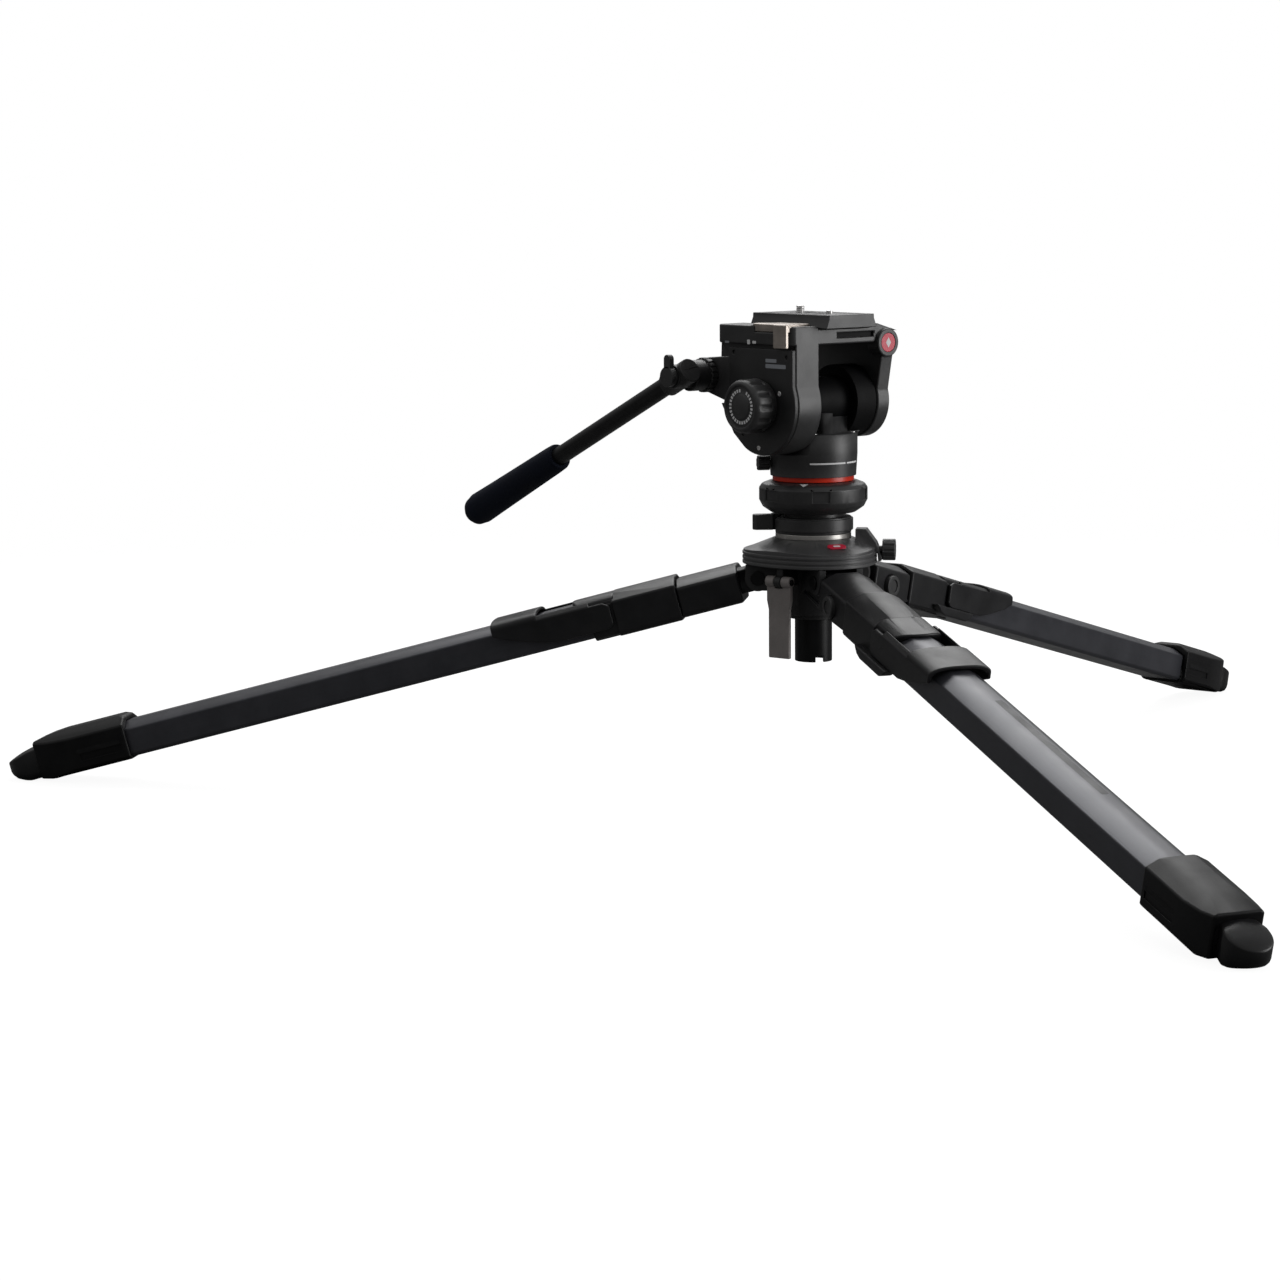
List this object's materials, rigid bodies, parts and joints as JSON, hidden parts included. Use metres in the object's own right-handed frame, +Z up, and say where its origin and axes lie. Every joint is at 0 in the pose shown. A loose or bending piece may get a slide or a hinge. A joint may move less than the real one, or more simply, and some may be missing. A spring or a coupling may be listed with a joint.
{
  "type": "tripod with fluid head",
  "caption": "Camera tripod with telescoping legs spread low, short centre column, pan and tilt fluid head, sliding camera plate and a long pan bar with foam grip.",
  "frame": {"origin": "point where the pan axis meets the top face of the camera plate", "axes": "+Z up along the pan axis; the lens points along -Y; the tilt axis is parallel to X and the tilt drag knob is on the -X side"},
  "size_m": [1.0438, 1.073, 0.3664],
  "materials": {
    "apex_plastic": "satin dark grey",
    "apex_casting": "matt black",
    "badge_red": "gloss red with a plain white mark",
    "steel": "satin",
    "sleeve_black": "matt black",
    "column_alu": "black anodised",
    "ring_grey": "satin warm grey",
    "lever_grey": "satin warm grey",
    "knob_black": "matt black",
    "leg_plastic": "satin dark grey",
    "tube_alu": "blue-grey anodised, brushed along its length",
    "inner_tube_alu": "dark anodised",
    "rubber_black": "matt black",
    "head_black": "satin black",
    "head_plastic": "satin black",
    "ring_red": "satin red",
    "vial_green": "clear green",
    "lever_silver": "satin champagne",
    "bar_black": "black anodised",
    "grip_foam": "blue-black closed-cell foam"
  },
  "bodies": {
    "spider": {"spider_body": "apex_casting", "spider_cover": "apex_plastic", "cover_badge": "badge_red", "spider_pins": "apex_casting", "column_sleeve": "sleeve_black"},
    "leg1": {"leg1_top_casting": "leg_plastic", "leg1_lock_collar": "leg_plastic", "leg1_outer_tube": "tube_alu"},
    "leg1_angle_button": {"leg1_angle_button": "knob_black"},
    "leg1_lock_lever": {"leg1_lock_lever": "leg_plastic"},
    "leg1_middle": {"leg1_middle_tube": "inner_tube_alu"},
    "leg1_lower": {"leg1_lower_tube": "inner_tube_alu", "leg1_foot_housing": "leg_plastic", "leg1_rubber_foot": "rubber_black"},
    "leg2": {"leg2_top_casting": "leg_plastic", "leg2_lock_collar": "leg_plastic", "leg2_outer_tube": "tube_alu"},
    "leg2_angle_button": {"leg2_angle_button": "knob_black"},
    "leg2_lock_lever": {"leg2_lock_lever": "leg_plastic"},
    "leg2_middle": {"leg2_middle_tube": "inner_tube_alu"},
    "leg2_lower": {"leg2_lower_tube": "inner_tube_alu", "leg2_foot_housing": "leg_plastic", "leg2_rubber_foot": "rubber_black"},
    "leg3": {"leg3_top_casting": "leg_plastic", "leg3_lock_collar": "leg_plastic", "leg3_outer_tube": "tube_alu"},
    "leg3_angle_button": {"leg3_angle_button": "knob_black"},
    "leg3_lock_lever": {"leg3_lock_lever": "leg_plastic"},
    "leg3_middle": {"leg3_middle_tube": "inner_tube_alu"},
    "leg3_lower": {"leg3_lower_tube": "inner_tube_alu", "leg3_foot_housing": "leg_plastic", "leg3_rubber_foot": "rubber_black"},
    "column": {"column_tube": "column_alu", "column_top_plate": "ring_grey", "qr_base": "head_black", "head_base": "head_black", "red_ring": "ring_red"},
    "column_lock_lever": {"column_lock_lever": "lever_grey"},
    "thumbscrew": {"thumbscrew": "knob_black"},
    "qr_lever": {"qr_lever": "knob_black"},
    "pan_drag_ring": {"pan_drag_ring": "knob_black"},
    "pan": {"pan_housing": "head_black", "level_vial": "vial_green", "tilt_cartridge": "head_plastic"},
    "pan_lock_knob": {"pan_lock_knob": "knob_black"},
    "tilt": {"tilt_frame": "head_black", "tilt_side_cover": "head_plastic", "front_badge": "badge_red"},
    "tilt_drag_knob": {"tilt_drag_knob": "knob_black"},
    "tilt_lock_lever": {"tilt_lock_lever": "knob_black"},
    "plate_lock_lever": {"plate_lock_lever": "lever_silver"},
    "plate": {"camera_plate": "head_black", "plate_pads": "rubber_black", "video_pin": "steel"},
    "camera_screw": {"camera_screw": "steel"},
    "bar": {"pan_bar_clamp": "head_plastic", "pan_bar_tube": "bar_black", "pan_bar_grip": "grip_foam"},
    "pan_bar_lever": {"pan_bar_lever": "knob_black"}
  },
  "joints": [
    {"name": "leg1_fold", "type": "hinge", "parent": "spider", "child": "leg1", "pos_m": [0.03913, 0.00832, -0.1965], "axis": [-0.2079, 0.9781, 0], "range_deg": [0, 75]},
    {"name": "leg1_angle_press", "type": "slide", "parent": "leg1", "child": "leg1_angle_button", "axis": [-0.2079, 0.9781, 0], "range_m": [0, 0.003]},
    {"name": "leg1_lock_lift", "type": "hinge", "parent": "leg1", "child": "leg1_lock_lever", "pos_m": [0.15256, 0.03243, -0.22736], "axis": [-0.2079, 0.9781, 0], "range_deg": [-60, 0]},
    {"name": "leg1_middle_slide", "type": "slide", "parent": "leg1", "child": "leg1_middle", "axis": [0.9453, 0.2009, -0.2571], "range_m": [0, 0.28]},
    {"name": "leg1_lower_slide", "type": "slide", "parent": "leg1_middle", "child": "leg1_lower", "axis": [0.9453, 0.2009, -0.2571], "range_m": [0, 0.28]},
    {"name": "leg2_fold", "type": "hinge", "parent": "spider", "child": "leg2", "pos_m": [-0.02677, 0.02973, -0.1965], "axis": [-0.7431, -0.6691, 0], "range_deg": [0, 75]},
    {"name": "leg2_angle_press", "type": "slide", "parent": "leg2", "child": "leg2_angle_button", "axis": [-0.7431, -0.6691, 0], "range_m": [0, 0.003]},
    {"name": "leg2_lock_lift", "type": "hinge", "parent": "leg2", "child": "leg2_lock_lever", "pos_m": [-0.10436, 0.1159, -0.22736], "axis": [-0.7431, -0.6691, 0], "range_deg": [-60, 0]},
    {"name": "leg2_middle_slide", "type": "slide", "parent": "leg2", "child": "leg2_middle", "axis": [-0.6466, 0.7182, -0.2571], "range_m": [0, 0.28]},
    {"name": "leg2_lower_slide", "type": "slide", "parent": "leg2_middle", "child": "leg2_lower", "axis": [-0.6466, 0.7182, -0.2571], "range_m": [0, 0.28]},
    {"name": "leg3_fold", "type": "hinge", "parent": "spider", "child": "leg3", "pos_m": [-0.01236, -0.03804, -0.1965], "axis": [0.9511, -0.309, 0], "range_deg": [0, 75]},
    {"name": "leg3_angle_press", "type": "slide", "parent": "leg3", "child": "leg3_angle_button", "axis": [0.9511, -0.309, 0], "range_m": [0, 0.003]},
    {"name": "leg3_lock_lift", "type": "hinge", "parent": "leg3", "child": "leg3_lock_lever", "pos_m": [-0.0482, -0.14833, -0.22736], "axis": [0.9511, -0.309, 0], "range_deg": [-60, 0]},
    {"name": "leg3_middle_slide", "type": "slide", "parent": "leg3", "child": "leg3_middle", "axis": [-0.2986, -0.9191, -0.2571], "range_m": [0, 0.28]},
    {"name": "leg3_lower_slide", "type": "slide", "parent": "leg3_middle", "child": "leg3_lower", "axis": [-0.2986, -0.9191, -0.2571], "range_m": [0, 0.28]},
    {"name": "column_slide", "type": "slide", "parent": "spider", "child": "column", "axis": [0, 0, 1], "range_m": [0, 0.05]},
    {"name": "column_lock_swing", "type": "hinge", "parent": "spider", "child": "column_lock_lever", "pos_m": [-0.04206, -0.00894, -0.1965], "axis": [0.2079, -0.9781, 0], "range_deg": [-80, 0]},
    {"name": "thumbscrew_turn", "type": "hinge", "parent": "spider", "child": "thumbscrew", "pos_m": [0.03346, -0.03716, -0.176], "axis": [0.6691, -0.7431, 0], "range_deg": [-180, 180]},
    {"name": "qr_swing", "type": "hinge", "parent": "column", "child": "qr_lever", "pos_m": [0.00497, 0.02817, -0.156], "axis": [0, 0, 1], "range_deg": [-40, 0]},
    {"name": "pan_drag_turn", "type": "hinge", "parent": "column", "child": "pan_drag_ring", "pos_m": [0, 0, -0.136], "axis": [0, 0, 1], "range_deg": [-60, 60]},
    {"name": "pan_turn", "type": "hinge", "parent": "column", "child": "pan", "pos_m": [0, 0, -0.118], "axis": [0, 0, 1], "continuous": true},
    {"name": "pan_lock_turn", "type": "hinge", "parent": "pan", "child": "pan_lock_knob", "pos_m": [-0.03291, 0.019, -0.1105], "axis": [-0.866, 0.5, 0], "range_deg": [-90, 90]},
    {"name": "tilt_turn", "type": "hinge", "parent": "pan", "child": "tilt", "pos_m": [0, 0, -0.066], "axis": [1, 0, 0], "range_deg": [-30, 90]},
    {"name": "tilt_drag_turn", "type": "hinge", "parent": "tilt", "child": "tilt_drag_knob", "pos_m": [-0.064, 0, -0.066], "axis": [1, 0, 0], "range_deg": [-150, 150]},
    {"name": "tilt_lock_swing", "type": "hinge", "parent": "tilt", "child": "tilt_lock_lever", "pos_m": [0.056, 0, -0.066], "axis": [1, 0, 0], "range_deg": [-30, 30]},
    {"name": "plate_lock_swing", "type": "hinge", "parent": "tilt", "child": "plate_lock_lever", "pos_m": [-0.0434, 0.006, -0.009], "axis": [0, 0, 1], "range_deg": [-25, 0]},
    {"name": "plate_slide", "type": "slide", "parent": "tilt", "child": "plate", "axis": [0, 1, 0], "range_m": [-0.02, 0.02]},
    {"name": "camera_screw_turn", "type": "hinge", "parent": "plate", "child": "camera_screw", "pos_m": [0, 0.014, -0.004], "axis": [0, 0, 1], "range_deg": [-180, 180]},
    {"name": "bar_swing", "type": "hinge", "parent": "tilt", "child": "bar", "pos_m": [-0.055, 0.061, -0.046], "axis": [1, 0, 0], "range_deg": [-25, 90]},
    {"name": "bar_clamp_turn", "type": "hinge", "parent": "bar", "child": "pan_bar_lever", "pos_m": [-0.089, 0.061, -0.046], "axis": [1, 0, 0], "range_deg": [-90, 90]}
  ]
}
